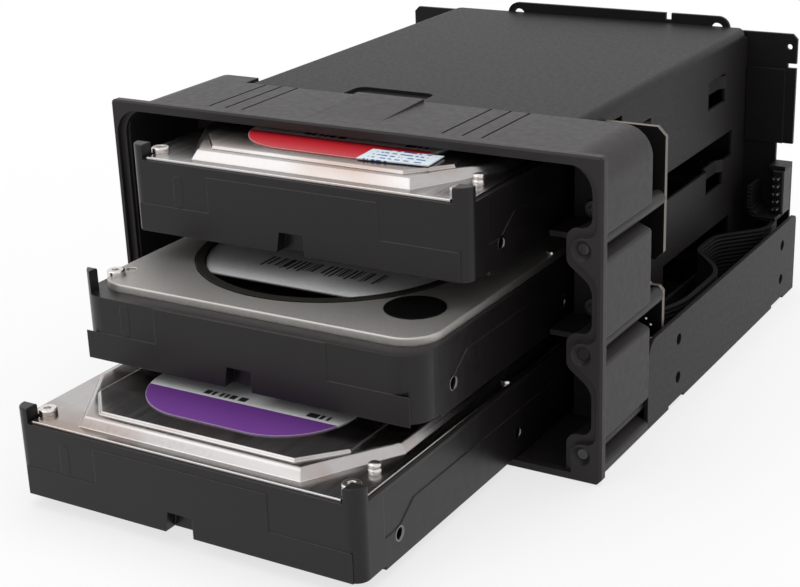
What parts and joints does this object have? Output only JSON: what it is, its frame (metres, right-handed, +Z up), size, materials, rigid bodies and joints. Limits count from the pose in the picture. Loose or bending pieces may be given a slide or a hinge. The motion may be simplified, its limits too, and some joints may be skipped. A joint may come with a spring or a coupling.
{
  "type": "hot swap drive cage",
  "caption": "Black cage for 3.5 inch drives with a plastic bezel, lamp pipes, sheet metal box, backplane and rear fan; the drives slide out of the front.",
  "frame": {"origin": "middle of the lower front edge of the flange, on the plane of the underside", "axes": "+Z up, +Y from the front flange to the fan, +X to the right of the front"},
  "size_m": [0.1504, 0.2524, 0.088],
  "materials": {
    "bezel_plastic": "fine satin grain",
    "clear_pipe": "clear",
    "dark_sheet": "fine textured powder coat",
    "rail_plastic": "satin",
    "board_black": "solder mask",
    "lamp": "clear",
    "steel_screw": "satin",
    "connector_plastic": "satin",
    "ribbon_grey": "ribbed",
    "fan_plastic": "satin",
    "cast_case": "satin black coat",
    "bright_cover": "brushed bright",
    "bright_screw": "bright",
    "circuit_green": "solder mask",
    "drive_low_label": "printed, purple and white",
    "drive_middle_label": "printed, white",
    "drive_top_label": "printed, red and white",
    "foam_ring": "foam",
    "spot_black": "matt",
    "tag_paper": "printed, white"
  },
  "bodies": {
    "cage": {"backplane": "board_black", "backplane_posts": "steel_screw", "base_tray": "dark_sheet", "bezel": "bezel_plastic", "bezel_screws": "steel_screw", "board_lamps": "lamp", "board_screws": "steel_screw", "box_shell": "dark_sheet", "box_tabs": "dark_sheet", "cable_header": "connector_plastic", "data_outlets": "connector_plastic", "drive_sockets": "connector_plastic", "fan_frame": "fan_plastic", "fan_guard": "fan_plastic", "fan_screws": "steel_screw", "foot_screws": "steel_screw", "header_pins": "steel_screw", "light_pipes": "clear_pipe", "lower_board": "board_black", "plate_screws": "steel_screw", "power_inlet": "connector_plastic", "rails_low": "rail_plastic", "rails_middle": "rail_plastic", "rails_top": "rail_plastic", "rear_plate": "dark_sheet", "ribbon_cable": "ribbon_grey", "tray_screws": "steel_screw", "upper_board": "board_black"},
    "drive_low": {"drive_low_case": "cast_case", "drive_low_circuit": "circuit_green", "drive_low_cover": "bright_cover", "drive_low_label": "drive_low_label", "drive_low_pin": "bright_screw", "drive_low_plug": "connector_plastic", "drive_low_screws": "bright_screw"},
    "drive_middle": {"drive_middle_case": "cast_case", "drive_middle_circuit": "circuit_green", "drive_middle_cover": "bright_cover", "drive_middle_label": "drive_middle_label", "drive_middle_plug": "connector_plastic", "drive_middle_ring": "foam_ring", "drive_middle_screws": "bright_screw", "drive_middle_spot": "spot_black"},
    "drive_top": {"drive_top_case": "cast_case", "drive_top_circuit": "circuit_green", "drive_top_cover": "bright_cover", "drive_top_label": "drive_top_label", "drive_top_pin": "bright_screw", "drive_top_plug": "connector_plastic", "drive_top_screws": "bright_screw", "drive_top_tag": "tag_paper"},
    "fan_rotor": {"fan_rotor": "fan_plastic"}
  },
  "joints": [
    {"name": "drive_low_slide", "type": "slide", "parent": "cage", "child": "drive_low", "axis": [0, -1, 0], "range_m": [-0.0777, 0.0737]},
    {"name": "drive_middle_slide", "type": "slide", "parent": "cage", "child": "drive_middle", "axis": [0, -1, 0], "range_m": [-0.0508, 0.1006]},
    {"name": "drive_top_slide", "type": "slide", "parent": "cage", "child": "drive_top", "axis": [0, -1, 0], "range_m": [-0.0254, 0.126]},
    {"name": "fan_spin", "type": "hinge", "parent": "cage", "child": "fan_rotor", "pos_m": [0.0075, 0.1674, 0.046], "axis": [0, 1, 0], "continuous": true}
  ]
}
